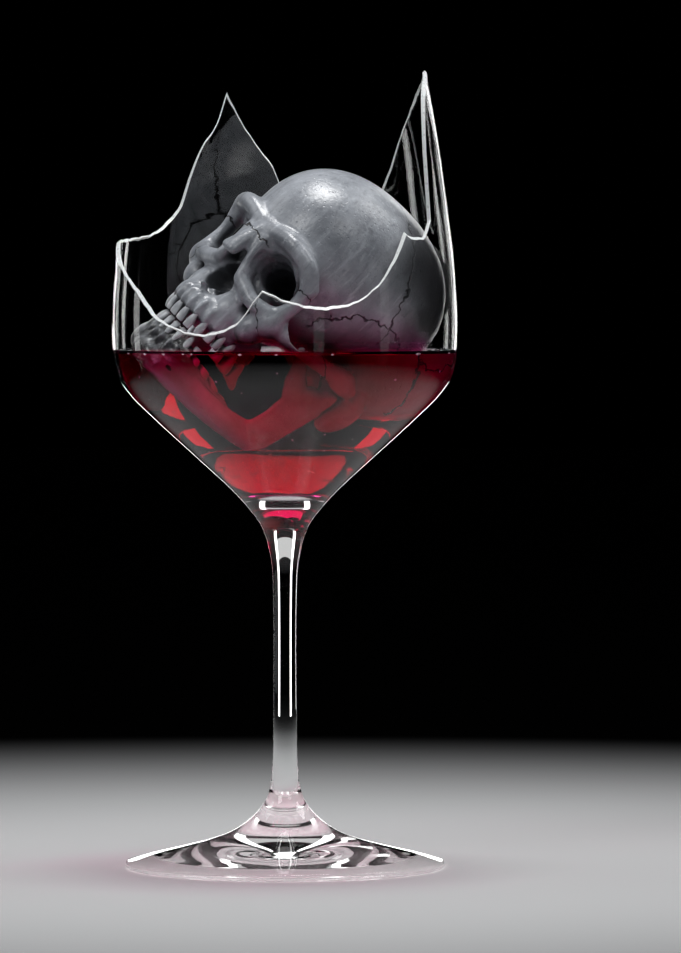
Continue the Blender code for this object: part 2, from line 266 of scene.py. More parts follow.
def bowl_line(inset):
    """Line of the bowl's inside at a depth `inset` under the outer surface, from the axis up to the rim."""
    line = []
    for height in [h for h in outer_heights if h >= floor_edge]:
        low, high = max(height - 0.2, foot_edge), min(height + 0.2, rim_height)
        slope = (smooth_value(outer_line, high) - smooth_value(outer_line, low)) / (high - low)
        reach = math.hypot(1.0, slope)
        line.append((smooth_value(outer_line, height) - inset / reach, height + inset * slope / reach))
    edge_radius, edge_height = line[0]
    base = bowl_floor + inset - wall
    dish = [(edge_radius * part, base + (edge_height - base) * part ** 4)
            for part in (0.0, 0.15, 0.3, 0.42, 0.52, 0.61, 0.69, 0.76, 0.83, 0.89, 0.95)]
    return dish + line


def turned(name, section, steps):
    """Piece turned about Z from a section of (radius, height) points in millimetres, drawn as a line and spun."""
    deselect_all()
    bpy.ops.mesh.primitive_plane_add(size=MM, location=(0.0, 0.0, 0.0))
    piece = bpy.context.object
    piece.name = name
    bpy.ops.object.mode_set(mode="EDIT")
    bpy.ops.mesh.merge(type="CENTER")
    bpy.ops.transform.translate(value=(section[0][0] * MM, 0.0, section[0][1] * MM))
    for (r0, z0), (r1, z1) in zip(section, section[1:]):
        bpy.ops.mesh.extrude_region_move(
            TRANSFORM_OT_translate={"value": ((r1 - r0) * MM, 0.0, (z1 - z0) * MM)})
    bpy.ops.mesh.select_all(action="SELECT")
    bpy.ops.mesh.spin(steps=steps, angle=2 * math.pi, center=(0.0, 0.0, 0.0), axis=(0.0, 0.0, 1.0))
    bpy.ops.mesh.select_all(action="SELECT")
    bpy.ops.mesh.remove_doubles(threshold=0.02 * MM)
    bpy.ops.mesh.normals_make_consistent(inside=False)
    bpy.ops.object.mode_set(mode="OBJECT")
    bpy.ops.object.shade_smooth()
    return piece


half = foot_edge / 2
foot_round = [(foot_radius - half + half * math.cos(math.radians(a)), half + half * math.sin(math.radians(a)))
              for a in range(60, -91, -15)]
underside = [(foot_ring, 0.0)]
underside += [(foot_ring * part, foot_hollow * (1 - part ** 2))
              for part in (0.97, 0.9, 0.75, 0.6, 0.45, 0.3, 0.15, 0)]
glass_section = bowl_line(wall) + [(smooth_value(outer_line, h), h) for h in reversed(outer_heights)]
glass = turned("wine_glass_blown", glass_section + foot_round + underside, glass_steps)

# The broken edge as (angle in degrees from +X, height), one list for each curve between two sharp corners.
broken_edge = [
    [(180, 180.8), (212, 167), (226, 158.3), (242, 154.6), (253, 157), (263, 167)],
    [(263, 167), (272, 163.8), (282, 162.3), (292, 163.2), (302, 168), (311, 177), (316, 183.4)],
    [(316, 183.4), (320, 181.9), (325, 182), (331, 187)],
    [(331, 187), (334, 207), (339.5, 219.5), (345, 225), (360, 230)],
    [(360, 230), (369, 228), (380, 224.6), (397, 214), (410, 198.5)],
    [(410, 198.5), (420, 187), (433, 180), (446, 187), (455, 203)],
    [(455, 203), (465, 213), (475, 224.5)],
    [(475, 224.5), (478, 216), (484, 208.7), (488, 201), (492, 191), (508, 182.6), (540, 180.8)],
]
edge_step = 0.75                                        # degrees between points along it
edge_points = []
for curve in broken_edge:
    start, end = curve[0][0], curve[-1][0]
    count = max(4, round((end - start) / edge_step))
    for i in range(count):
        angle = start + (end - start) * i / count
        edge_points.append((angle, smooth_value(curve, angle)))

# A ring stands over the bowl with its underside shaped to the broken edge: it takes the lost glass away. The
# underside peaks over the middle of the wall, so the glass breaks to a blunt ridge that shows from both sides.
ring_reach, ring_top, ring_top_inner, ridge_slope = 8.0, 245.0, 25.0, 0.95
ring_rows = ("inner foot", "ridge", "outer foot", "outer top", "inner top")
deselect_all()
bpy.ops.mesh.primitive_circle_add(vertices=len(edge_points), radius=10 * MM, fill_type="NOTHING")
lost = bpy.context.object
lost.name = "lost_glass"
bpy.ops.object.mode_set(mode="EDIT")
for row in range(1, len(ring_rows)):
    bpy.ops.mesh.extrude_edges_move()
    bpy.ops.transform.resize(value=((row + 1) / row, (row + 1) / row, 1.0))
bpy.ops.mesh.select_all(action="DESELECT")
bpy.ops.mesh.select_non_manifold()
bpy.ops.mesh.bridge_edge_loops()
bpy.ops.object.mode_set(mode="OBJECT")
for vert in lost.data.vertices:
    around = round(math.atan2(vert.co.y, vert.co.x) / (2 * math.pi) * len(edge_points))
    row = ring_rows[round(math.hypot(vert.co.x, vert.co.y) / (10 * MM)) - 1]
    angle, height = edge_points[around % len(edge_points)]
    turn = math.radians(angle)
    middle = smooth_value(outer_line, height) - wall / 2 + 0.25 * math.sin(turn * 11 + 0.6)
    height += 0.10 * math.sin(turn * 53) + 0.07 * math.sin(turn * 97 + 1.3)
    radius = middle + {"inner": -ring_reach, "outer": ring_reach}.get(row.split()[0], 0.0)
    radius = ring_top_inner if row == "inner top" else radius
    level = height if row == "ridge" else ring_top if "top" in row else height - ring_reach * ridge_slope
    vert.co = (radius * MM * math.cos(turn), radius * MM * math.sin(turn), level * MM)
bpy.ops.object.mode_set(mode="EDIT")
bpy.ops.mesh.select_all(action="SELECT")
bpy.ops.mesh.normals_make_consistent(inside=False)
bpy.ops.object.mode_set(mode="OBJECT")


def cut_away(piece, cutter):
    """Takes the cutter's shape out of the piece, and removes the cutter."""
    deselect_all()
    piece.select_set(True)
    bpy.context.view_layer.objects.active = piece
    cut = piece.modifiers.new("cut", "BOOLEAN")
    cut.operation = "DIFFERENCE"
    cut.solver = "EXACT"
    cut.object = cutter
    bpy.ops.object.modifier_apply(modifier=cut.name)
    bpy.data.objects.remove(cutter, do_unlink=True)


def let_lamps_through(nodes, links, shader):
    """Light from the lamps passes the clear glass unbent, as it does by and large through a thin wall."""
    path = nodes.new("ShaderNodeLightPath")
    clear = nodes.new("ShaderNodeBsdfTransparent")
    choose = nodes.new("ShaderNodeMixShader")
    links.new(path.outputs["Is Shadow Ray"], choose.inputs["Fac"])
    links.new(shader.outputs[0], choose.inputs[1])
    links.new(clear.outputs[0], choose.inputs[2])
    links.new(choose.outputs[0], nodes["Material Output"].inputs["Surface"])
    return clear


def noise(nodes, links, vector, **settings):
    """Noise at the vector, as a value."""
    node = new_node(nodes, "ShaderNodeTexNoise", **settings)
    links.new(vector, node.inputs["Vector"])
    return node.outputs["Fac"]


def add_relief(nodes, links, shader, height, strength, depth):
    """Relief on the surface from the height, to a depth in millimetres."""
    bump = new_node(nodes, "ShaderNodeBump", Strength=strength, Distance=depth * MM)
    links.new(height, bump.inputs["Height"])
    links.new(bump.outputs["Normal"], shader.inputs["Normal"])


# Clear glass, with the faint waves of blowing in its surface, and a few smears.
glass_index = 1.52
wine_index = 1.34
clear_glass, nodes, links, shader = new_material("clear_glass")
shader.inputs["Base Color"].default_value = (0.985, 0.995, 0.99, 1.0)
shader.inputs["Transmission Weight"].default_value = 1.0
shader.inputs["IOR"].default_value = glass_index
place = nodes.new("ShaderNodeTexCoord").outputs["Object"]
drawn_up = new_node(nodes, "ShaderNodeMapping", Scale=(1.0, 1.0, 0.35))
links.new(place, drawn_up.inputs["Vector"])
waves = noise(nodes, links, drawn_up.outputs["Vector"], Scale=70.0, Detail=2.0)
add_relief(nodes, links, shader, waves, 0.12, 0.4)
smears = noise(nodes, links, place, Scale=160.0, Detail=5.0)
links.new(range_node(nodes, links, smears, 0.55, 0.8, 0.0, 0.06, smooth=False), shader.inputs["Roughness"])
let_lamps_through(nodes, links, shader)

# Broken faces: the same glass, but torn, so they scatter the light and show as bright lines.
torn_glass, nodes, links, shader = new_material("torn_glass")
shader.inputs["Base Color"].default_value = (0.95, 0.98, 0.97, 1.0)
shader.inputs["Transmission Weight"].default_value = 0.2
shader.inputs["IOR"].default_value = glass_index
place = nodes.new("ShaderNodeTexCoord").outputs["Object"]
hackle = noise(nodes, links, place, Scale=900.0, Detail=3.0)
links.new(range_node(nodes, links, hackle, 0.0, 1.0, 0.1, 0.55, smooth=False), shader.inputs["Roughness"])
add_relief(nodes, links, shader, hackle, 0.6, 0.2)
let_lamps_through(nodes, links, shader)

glass.data.materials.append(clear_glass)
glass.data.materials.append(torn_glass)
lost.data.materials.append(clear_glass)
lost.data.materials.append(torn_glass)
for face in lost.data.polygons:
    face.material_index = 1
cut_away(glass, lost)
bpy.ops.object.shade_smooth_by_angle(angle=math.radians(35))

# Where wine lies against the wall, light passes from glass to wine and not to air, so the inside of the bowl
# under the wine has the index of glass in wine.
wet_glass = clear_glass.copy()
wet_glass.name = "clear_glass_against_wine"
wet_glass.node_tree.nodes["Principled BSDF"].inputs["IOR"].default_value = glass_index / wine_index
glass.data.materials.append(wet_glass)
wine_contact = max(z for r, z in bowl_line(wall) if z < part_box("red_wine")[1].z / MM + 1.4)
for face in glass.data.polygons:
    inward = face.normal.x * face.center.x + face.normal.y * face.center.y < 0
    over_floor = face.center.z > (bowl_floor - 0.5) * MM and (inward or face.normal.z > 0.5)
    if over_floor and face.center.z < wine_contact * MM:
        face.material_index = 2
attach(glass, "root")
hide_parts("wine_glass")


# ------------------------------------------------------------------------------------------------------------
# The wine. It fills the bowl to just below its widest part, climbs the wall a little in a meniscus, and takes
# the light by its depth: nearly black where it is deep, ruby where it is thin.
# ------------------------------------------------------------------------------------------------------------

wine_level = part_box("red_wine")[1].z / MM
bedding = 0.05                                          # how far the wine is let into the wall
side = [point for point in bowl_line(wall - bedding) if point[1] < wine_contact + bedding]
reach = side[-1][0]
meniscus_width, meniscus_rise = 2.6, side[-1][1] - wine_level
meniscus = [(reach - meniscus_width * (1 - part), wine_level + meniscus_rise * part ** 3)
            for part in (0.0, 0.2, 0.4, 0.55, 0.7, 0.8, 0.9)]
surface = [(reach * part, wine_level) for part in (0.0, 0.3, 0.6, 0.85)]
wine = turned("wine_fill", surface + meniscus + side[::-1], 192)
against = wine.data.attributes.new("against_glass", "FLOAT", "FACE")
for face in wine.data.polygons:
    outward = face.normal.x * face.center.x + face.normal.y * face.center.y > 0
    against.data[face.index].value = 1.0 if face.normal.z < 0.3 and (outward or face.normal.z < -0.3) else 0.0
red_wine, nodes, links, shader = new_material("red_wine")
shader.inputs["Base Color"].default_value = (1.0, 1.0, 1.0, 1.0)
shader.inputs["Transmission Weight"].default_value = 1.0
shader.inputs["IOR"].default_value = wine_index
place = nodes.new("ShaderNodeTexCoord").outputs["Object"]
film = noise(nodes, links, place, Scale=55.0, Detail=4.0, Distortion=1.5)   # faint film and slow swell on top
links.new(range_node(nodes, links, film, 0.5, 0.75, 0.0, 0.05, smooth=False), shader.inputs["Roughness"])
add_relief(nodes, links, shader, film, 0.10, 0.3)
at_wall = new_node(nodes, "ShaderNodeAttribute", attribute_name="against_glass")
index = range_node(nodes, links, at_wall.outputs["Fac"], 0.0, 1.0, wine_index, 1.0, smooth=False)
links.new(index, shader.inputs["IOR"])                  # no bend at the wall: the glass there does it
depth = new_node(nodes, "ShaderNodeVolumeAbsorption", Color=(0.89, 0.05, 0.60, 1.0), Density=190.0)
links.new(depth.outputs["Volume"], nodes["Material Output"].inputs["Volume"])
let_lamps_through(nodes, links, shader)
wine.data.materials.append(red_wine)
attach(wine, "root")
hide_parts("red_wine")


# ------------------------------------------------------------------------------------------------------------
# Bubbles. A few small beads of air ride the edge of the wine along the wall, and a few hang in it.
# ------------------------------------------------------------------------------------------------------------

def copy_of(piece):
    """A copy with a mesh of its own, unselected."""
    copied = piece.copy()
    copied.data = piece.data.copy()
    bpy.context.collection.objects.link(copied)
    copied.select_set(False)
    return copied


deselect_all()
bpy.ops.mesh.primitive_ico_sphere_add(subdivisions=3, radius=MM)
one_bead = bpy.context.object
bpy.ops.object.mode_set(mode="EDIT")
bpy.ops.mesh.select_all(action="SELECT")
bpy.ops.transform.resize(value=(1.0, 1.0, 0.86))        # a little flattened, as it rises
bpy.ops.object.mode_set(mode="OBJECT")
beads = []
for i in range(72):
    turn = 2.4 * i + 0.5 * math.sin(i * 1.7)
    size = 0.30 + 0.26 * math.sin(i * 2.9) ** 2
    if i % 3 == 1:
        place = (reach - 0.9 - size, wine_level + 0.1 + 0.2 * size)
    else:
        fall = 4.0 + 24.0 * (0.5 + 0.5 * math.sin(i * 5.3))
        wall_there = next(r for r, z in side if z > wine_level - fall)
        inwards = 1.0 + 3.0 * (0.5 + 0.5 * math.sin(i * 3.1))
        place, size = (wall_there - inwards - size, wine_level - fall), size * 0.6
    bead = copy_of(one_bead)
    bead.location = (place[0] * MM * math.cos(turn), place[0] * MM * math.sin(turn), place[1] * MM)
    bead.scale = (size, size, size)
    beads.append(bead)
bpy.data.objects.remove(one_bead, do_unlink=True)
deselect_all()
for bead in beads:
    bead.select_set(True)
bpy.context.view_layer.objects.active = beads[0]
bpy.ops.object.join()
bubbles = bpy.context.object
bubbles.name = "wine_bubbles"
bpy.ops.object.transform_apply(location=True, rotation=True, scale=True)
bpy.ops.object.shade_smooth()
air_bead, nodes, links, shader = new_material("air_bead")
shader.inputs["Base Color"].default_value = (1.0, 0.93, 0.94, 1.0)
shader.inputs["Transmission Weight"].default_value = 0.85
shader.inputs["Roughness"].default_value = 0.04
shader.inputs["IOR"].default_value = 1.33
grain = noise(nodes, links, nodes.new("ShaderNodeTexCoord").outputs["Object"], Scale=1500.0)
add_relief(nodes, links, shader, grain, 0.1, 0.05)
let_lamps_through(nodes, links, shader)
bubbles.data.materials.append(air_bead)
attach(bubbles, "root")


# ------------------------------------------------------------------------------------------------------------
# The skull. A miniature in grey cast bone, about two fifths of life size, modelled upright and life size from
# lumps of clay that are skinned over as one, hollowed, and then laid over on its side in the bowl.
# ------------------------------------------------------------------------------------------------------------

bone_scale = 0.41
bone_place = (4.2, 5.0, 155.0)
bone_tip = math.radians(45.0)                           # the crown leans over to +X
bone_turn = math.radians(-45.0)                         # the face looks round to -X
lay_over = (Matrix.Translation([c * MM for c in bone_place]) @ Matrix.Rotation(bone_tip, 4, "Y")
            @ Matrix.Rotation(bone_turn, 4, "Z") @ Matrix.Scale(bone_scale, 4))


def lump(centre, radii, turn=(0, 0, 0)):
    """Ellipsoid of clay, in life-size millimetres and degrees."""
    bpy.ops.mesh.primitive_uv_sphere_add(
        segments=24, ring_count=14, radius=1.0, location=[c * MM for c in centre],
        rotation=[math.radians(d) for d in turn], scale=[r * MM for r in radii])
    return bpy.context.object


def pair(centre, radii, turn=(0, 0, 0)):
    """The same lump on both sides of the middle plane."""
    return [lump((side * centre[0], centre[1], centre[2]), radii, (turn[0], side * turn[1], side * turn[2]))
            for side in (1, -1)]


def strand(points, radii, count):
    """Row of lumps close together along a curve through the points, on both sides."""
    made = []
    spans = len(points) - 1
    for i in range(count + 1):
        at = spans * i / count
        place = [smooth_value(list(enumerate(p[axis] for p in points)), at) for axis in range(3)]
        size = [smooth_value(list(enumerate(r[axis] for r in radii)), at) for axis in range(3)]
        made += pair(place, size)
    return made


def join(name, lumps):
    """One object made of all the lumps."""
    deselect_all()
    for part in lumps:
        part.select_set(True)
    bpy.context.view_layer.objects.active = lumps[0]
    bpy.ops.object.join()
    whole = bpy.context.object
    whole.name = name
    bpy.ops.object.transform_apply(location=True, rotation=True, scale=True)
    return whole


def apply_modifier(piece, kind, **settings):
    deselect_all()
    piece.select_set(True)
    bpy.context.view_layer.objects.active = piece
    modifier = piece.modifiers.new("step", kind)
    for key, value in settings.items():
        setattr(modifier, key, value)
    bpy.ops.object.modifier_apply(modifier=modifier.name)


def skin_over(piece, grain, softening):
    """One closed skin round all the lumps, with a grain in life-size millimetres, then softened."""
    apply_modifier(piece, "REMESH", mode="VOXEL", voxel_size=grain * MM, adaptivity=0.0)
    apply_modifier(piece, "SMOOTH", factor=0.5, iterations=softening)


def lay_down(piece):
    """Shrink the piece, tip it over and lay it in the bowl."""
    deselect_all()
    piece.select_set(True)
    bpy.context.view_layer.objects.active = piece
    piece.matrix_world = lay_over
    bpy.ops.object.transform_apply(location=True, rotation=True, scale=True)
    bpy.ops.object.shade_smooth()


deselect_all()
clay = []
# Braincase: wider behind than in front, fuller than an ellipsoid, with shallow temples.
case_centre = (0.0, -12.0, 47.0)
case_half = (66.0, 85.0, 66.0)
bpy.ops.mesh.primitive_uv_sphere_add(segments=96, ring_count=60, radius=1.0)
case = bpy.context.object
for vert in case.data.vertices:
    unit = vert.co.normalized()
    x, y, z = unit * sum(abs(c) ** 2.25 for c in unit) ** (-1 / 2.25)
    x, y, z = x * case_half[0] * (1 + 0.09 * y), y * case_half[1], z * case_half[2]
    y, z = y + case_centre[1], z + case_centre[2]
    temple = math.exp(-((y + 60) / 20) ** 2 - ((z - 14) / 26) ** 2)
    under = max(0.0, y - 30) / 55 * max(0.0, 14 - z) / 34
    line = math.exp(-((math.hypot(y + 12, z - 22) - 46) / 5) ** 2) * (1 if z > 20 else 0)
    vert.co = Vector((x * (1 - 0.13 * temple + 0.012 * line), y - 9 * under, z + 14 * under)) * MM
clay.append(case)
clay.append(lump((0, -40, -6), (26, 36, 22)))                   # middle of the base, behind the face
clay += pair((51, 9, -13), (9, 12, 18))                         # mastoid
clay += pair((13, -42, -26), (5, 9, 16))                        # pterygoid plate
clay.append(lump((0, -92, 37), (17, 8, 9)))                     # between the brows
clay += strand([(9, -93, 37), (26, -93, 40), (43, -84, 37), (51, -73, 26)],
               [(9, 8, 7), (9, 8, 7), (8, 8, 7), (7, 7, 7)], 12)
clay += strand([(51, -73, 27), (51, -71, 12), (49, -74, -2)], [(5, 8, 6), (4.5, 7, 6), (6, 7, 6)], 8)
clay += strand([(49, -74, -4), (34, -86, -8), (17, -91, -3)], [(7, 7, 6), (7, 6, 6), (7, 6, 6)], 10)
clay += strand([(15, -91, -2), (11, -93, 14), (9, -94, 28)], [(5, 8, 6), (4.5, 8, 6), (6, 8, 6)], 8)
clay += pair((46, -72, -10), (11, 12, 12))                      # cheekbone
clay += pair((37, -72, -22), (10, 12, 12))
clay += strand([(52, -66, -9), (62, -50, -8), (66, -30, -5), (60, -8, -1)],
               [(4, 8, 8), (3.5, 8, 6), (3.5, 8, 5), (6, 9, 6)], 16)
clay.append(lump((0, -68, -12), (29, 24, 26)))                  # upper jaw
clay += pair((15, -80, -25), (15, 13, 18))
clay += strand([(0, -94, -35), (12, -91, -35), (22, -82, -35), (27, -66, -35), (29, -50, -33)],
               [(8, 6, 10), (8, 6, 10), (7, 7, 10), (6, 8, 10), (6, 8, 9)], 14)
clay += strand([(0, -96, 32), (1, -101, 20), (1.5, -107, 8)], [(6, 6, 6), (5.5, 6, 6), (6.5, 5, 4)], 8)
clay.append(lump((0, -99, -23), (2.2, 6, 3)))                   # spine under the nose

# Half of the row of teeth, from the middle to the back, as (across, back from the front, half width).
tooth_arch = [
    (4.2, 0.0, 4.2), (12.5, 1.5, 3.6), (20.0, 6.5, 3.8), (25.0, 13.5, 3.6), (28.0, 20.5, 3.6),
    (30.0, 29.5, 4.8), (31.0, 39.5, 4.8), (31.0, 48.5, 4.4),
]
for across, back, half_width in tooth_arch:                     # roots, showing through the bone
    clay += pair((across, -98.5 + back * 0.97, -36), (half_width * 0.62, half_width * 0.8 + 1.2, 9.0))
skull = join("skull_bone", clay)
skin_over(skull, 1.35, 10)

hollows = []
for depth in range(6):                                          # eye sockets, narrowing inwards
    reach = 1.0 - 0.13 * depth
    hollows += pair((32.5 - 2.6 * depth, -96 + 9 * depth, 16 - 0.5 * depth),
                    (20 * reach, 14, 17 * reach), (0, 12, -12))
hollows += pair((5.4, -96, -14), (7.2, 24, 9.5))                # opening of the nose
hollows += pair((2.8, -96, -5), (5.4, 24, 12))
hollows.append(lump((0, -60, -50), (19, 30, 18)))               # palate
hollows.append(lump((0, 12, -28), (15, 18, 14)))                # opening for the spine
hollows += pair((31, -92, -15), (1.9, 6, 1.5))                  # nerve holes under and over the sockets
hollows += pair((22, -100, 33), (1.5, 5, 1.2))
hollows += pair((48, -86, -9), (1.0, 6, 1.0))
hollows += pair((17, -45, 13), (2.4, 9, 7.0), (0, 28, 0))       # slits at the back of the sockets
hollows += pair((58, -52, 8), (12, 17, 20))                     # temples, behind the rim of the sockets
hollows += pair((60, 3, -1), (7, 3.2, 3.2))                     # ear openings
hollows += pair((28, -102, -26), (9, 7, 9))                     # dents beside the nose
hollow = join("skull_hollows", hollows)
skin_over(hollow, 1.0, 3)
cut_away(skull, hollow)
skin_over(skull, 1.35, 3)
lay_down(skull)


# Bone shader: cool grey, with cloudy darker patches, fine pits, painted shade darkening the hollows, the wandering
# seams between the bones, and a wet band over the wine. Wine stains it, darkly at the surface.
def sums(nodes, links, operation, first, second):
    node = nodes.new("ShaderNodeMath")
    node.operation = operation
    for socket, value in zip(node.inputs, (first, second)):
        if isinstance(value, (int, float)):
            socket.default_value = value
        else:
            links.new(value, socket)
    return node.outputs[0]


def bone_material(name, seams, gum_shade_low, gum_shade_high):
    material, nodes, links, shader = new_material(name)
    coords = nodes.new("ShaderNodeTexCoord")
    upright = nodes.new("ShaderNodeMapping")            # back to the bone's own upright axes, life-size metres
    upright.vector_type = "TEXTURE"
    place, turn, scale = lay_over.decompose()
    upright.inputs["Location"].default_value = place
    upright.inputs["Rotation"].default_value = turn.to_euler()
    upright.inputs["Scale"].default_value = scale
    links.new(coords.outputs["Object"], upright.inputs["Vector"])

    clouds = noise(nodes, links, upright.outputs["Vector"], Scale=28.0, Detail=6.0, Roughness=0.6)
    cloudy = range_node(nodes, links, clouds, 0.35, 0.7)
    colour = mix_colour(nodes, links, cloudy, (0.40, 0.42, 0.455), (0.22, 0.235, 0.26))

    streaks = noise(nodes, links, upright.outputs["Vector"], Scale=90.0, Detail=8.0, Roughness=0.7, Distortion=0.6)
    streaky = range_node(nodes, links, streaks, 0.52, 0.72, 0.0, 0.55)
    colour = mix_colour(nodes, links, streaky, colour, (0.12, 0.125, 0.14))

    # Brushed streaks, drawn out from the crown down to the neck.
    drawn = new_node(nodes, "ShaderNodeMapping", Scale=(1.0, 1.0, 0.16))
    links.new(upright.outputs["Vector"], drawn.inputs["Vector"])
    brushed = noise(nodes, links, drawn.outputs["Vector"], Scale=210.0, Detail=5.0, Roughness=0.65)
    pale_streak = range_node(nodes, links, brushed, 0.52, 0.70, 0.0, 0.5)
    dark_streak = range_node(nodes, links, brushed, 0.30, 0.46, 0.5, 0.0)
    colour = mix_colour(nodes, links, pale_streak, colour, (0.56, 0.59, 0.63))
    colour = mix_colour(nodes, links, dark_streak, colour, (0.13, 0.14, 0.16))

    # Painted shade between the teeth and along the gum: the bone at the front is coloured near black there, as far
    # back as the teeth go.
    wavy = noise(nodes, links, upright.outputs["Vector"], Scale=160.0, Detail=3.0)
    heights = nodes.new("ShaderNodeSeparateXYZ")
    links.new(upright.outputs["Vector"], heights.inputs["Vector"])
    wavy_height = sums(nodes, links, "ADD", heights.outputs["Z"],
                       range_node(nodes, links, wavy, 0.3, 0.7, -0.002, 0.002))
    gum = sums(nodes, links, "MULTIPLY", range_node(nodes, links, wavy_height, gum_shade_low, gum_shade_high),
               range_node(nodes, links, heights.outputs["Y"], -0.038, -0.050))
    # near-black painted shade round the teeth
    colour = mix_colour(nodes, links, gum, colour, (0.018, 0.018, 0.022))

    # Painted shade: ambient occlusion darkens the colour to near black in hollows, sockets and creases.
    shade = new_node(nodes, "ShaderNodeAmbientOcclusion", samples=8)
    shade.inputs["Distance"].default_value = 0.014
    painted_crevice_shade = range_node(nodes, links, shade.outputs["AO"], 0.18, 0.80, 1.0, 0.0)
    colour = mix_colour(nodes, links, painted_crevice_shade, colour, (0.012, 0.012, 0.015))

    levels = nodes.new("ShaderNodeSeparateXYZ")
    links.new(coords.outputs["Object"], levels.inputs["Vector"])
    stained = range_node(nodes, links, levels.outputs["Z"], (wine_level + 0.2) * MM, (wine_level + 1.8) * MM,
                         1.0, 0.0)
    stain = mix_colour(nodes, links, cloudy, (0.95, 0.20, 0.45), (0.74, 0.08, 0.20))
    shallow = range_node(nodes, links, levels.outputs["Z"], (wine_level - 7.0) * MM, (wine_level - 0.5) * MM)
    stain = mix_colour(nodes, links, shallow, stain, (0.24, 0.015, 0.05))
    # The painted shade in the hollows darkens the wine stain too.
    stain = mix_colour(nodes, links, sums(nodes, links, "MULTIPLY", painted_crevice_shade, 0.8), stain, (0.10, 0.004, 0.012))
    colour = mix_colour(nodes, links, stained, colour, stain)

    grain = noise(nodes, links, upright.outputs["Vector"], Scale=420.0, Detail=4.0)
    pits = new_node(nodes, "ShaderNodeTexVoronoi", Scale=300.0)
    links.new(upright.outputs["Vector"], pits.inputs["Vector"])
    pit = range_node(nodes, links, pits.outputs["Distance"], 0.05, 0.28, 1.0, 0.0)
    height = sums(nodes, links, "SUBTRACT", grain, sums(nodes, links, "MULTIPLY", pit, 0.7))

    if seams:
        # The plain places of the seams, made to wander by noise.
        wander = new_node(nodes, "ShaderNodeTexNoise", Scale=120.0, Detail=3.0)
        links.new(upright.outputs["Vector"], wander.inputs["Vector"])
        shift = nodes.new("ShaderNodeVectorMath")
        shift.operation = "MULTIPLY_ADD"
        shift.inputs[1].default_value = (0.013, 0.013, 0.013)
        links.new(wander.outputs["Color"], shift.inputs[0])
        links.new(upright.outputs["Vector"], shift.inputs[2])
        apart = nodes.new("ShaderNodeSeparateXYZ")
        links.new(shift.outputs["Vector"], apart.inputs["Vector"])
        x = sums(nodes, links, "SUBTRACT", apart.outputs["X"], 0.0065)
        y = sums(nodes, links, "SUBTRACT", apart.outputs["Y"], 0.0065)
        z = sums(nodes, links, "SUBTRACT", apart.outputs["Z"], 0.0065)
        side = sums(nodes, links, "ABSOLUTE", x, 0.0)

        def line(distance, width):
            return range_node(nodes, links, sums(nodes, links, "ABSOLUTE", distance, 0.0),
                              width * 0.35, width, 1.0, 0.0)

        def only(mask, *limits):
            for source, low, high in limits:
                mask = sums(nodes, links, "MULTIPLY", mask, range_node(nodes, links, source, low, high))
            return mask

        down = sums(nodes, links, "MULTIPLY", z, -1.0)
        behind = sums(nodes, links, "MULTIPLY", y, -1.0)
        crown_line = sums(nodes, links, "ADD", y, sums(nodes, links, "MULTIPLY", z, 0.35))
        crown = only(line(sums(nodes, links, "ADD", crown_line, -0.010), 0.0011), (z, 0.030, 0.034))
        middle = only(line(x, 0.0011), (z, 0.080, 0.084), (crown_line, 0.010, 0.012))
        back_line = sums(nodes, links, "ADD", sums(nodes, links, "SUBTRACT", z, 0.092),
                         sums(nodes, links, "MULTIPLY", side, 0.9))
        back = only(line(back_line, 0.0011), (y, 0.020, 0.024), (z, 0.020, 0.024))
        scale_y = sums(nodes, links, "SUBTRACT", y, -0.005)
        scale_z = sums(nodes, links, "SUBTRACT", z, 0.005)
        arc = sums(nodes, links, "SQRT", sums(nodes, links, "ADD",
                                              sums(nodes, links, "MULTIPLY", scale_y, scale_y),
                                              sums(nodes, links, "MULTIPLY", scale_z, scale_z)), 0.0)
        scale = only(line(sums(nodes, links, "SUBTRACT", arc, 0.040), 0.0011),
                     (side, 0.040, 0.044), (z, 0.004, 0.008))
        cheek_line = sums(nodes, links, "ADD", sums(nodes, links, "SUBTRACT", side, 0.034),
                          sums(nodes, links, "MULTIPLY", z, 0.8))
        cheek = only(line(cheek_line, 0.0009), (down, 0.004, 0.008), (behind, 0.066, 0.070))
        socket_side = only(line(sums(nodes, links, "SUBTRACT", z, 0.021), 0.0010),
                           (side, 0.042, 0.046), (behind, 0.058, 0.062))
        arch = only(line(sums(nodes, links, "ADD", sums(nodes, links, "ADD", y, 0.036), z), 0.0010),
                    (side, 0.054, 0.057))
        nose_root = only(line(sums(nodes, links, "SUBTRACT", z, 0.028), 0.0009),
                         (sums(nodes, links, "MULTIPLY", side, -1.0), -0.015, -0.012), (behind, 0.082, 0.086))
        seam = crown
        for other in (middle, back, scale, cheek, socket_side, arch, nose_root):
            seam = sums(nodes, links, "MAXIMUM", seam, other)
        colour = mix_colour(nodes, links, seam, colour, (0.012, 0.012, 0.015))
        height = sums(nodes, links, "SUBTRACT", height, sums(nodes, links, "MULTIPLY", seam, 3.0))

    links.new(colour, shader.inputs["Base Color"])
    shader.inputs["Specular IOR Level"].default_value = 0.85
    add_relief(nodes, links, shader, height, 0.5, 0.18)
    dry = range_node(nodes, links, levels.outputs["Z"], (wine_level + 0.8) * MM, (wine_level + 4.0) * MM,
                     0.12, 0.24)
    links.new(sums(nodes, links, "ADD", dry, sums(nodes, links, "MULTIPLY", grain, 0.12)),
              shader.inputs["Roughness"])
    return material


skull.data.materials.append(bone_material("grey_bone", True, -0.0395, -0.0435))
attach(skull, "root")
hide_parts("skull")
shade_from_strips(skull)


# ------------------------------------------------------------------------------------------------------------
# The jaw. The same grey cast bone: a bow with two upright branches, lying open against the skull, with the
# roots of the teeth showing through it.
# ------------------------------------------------------------------------------------------------------------

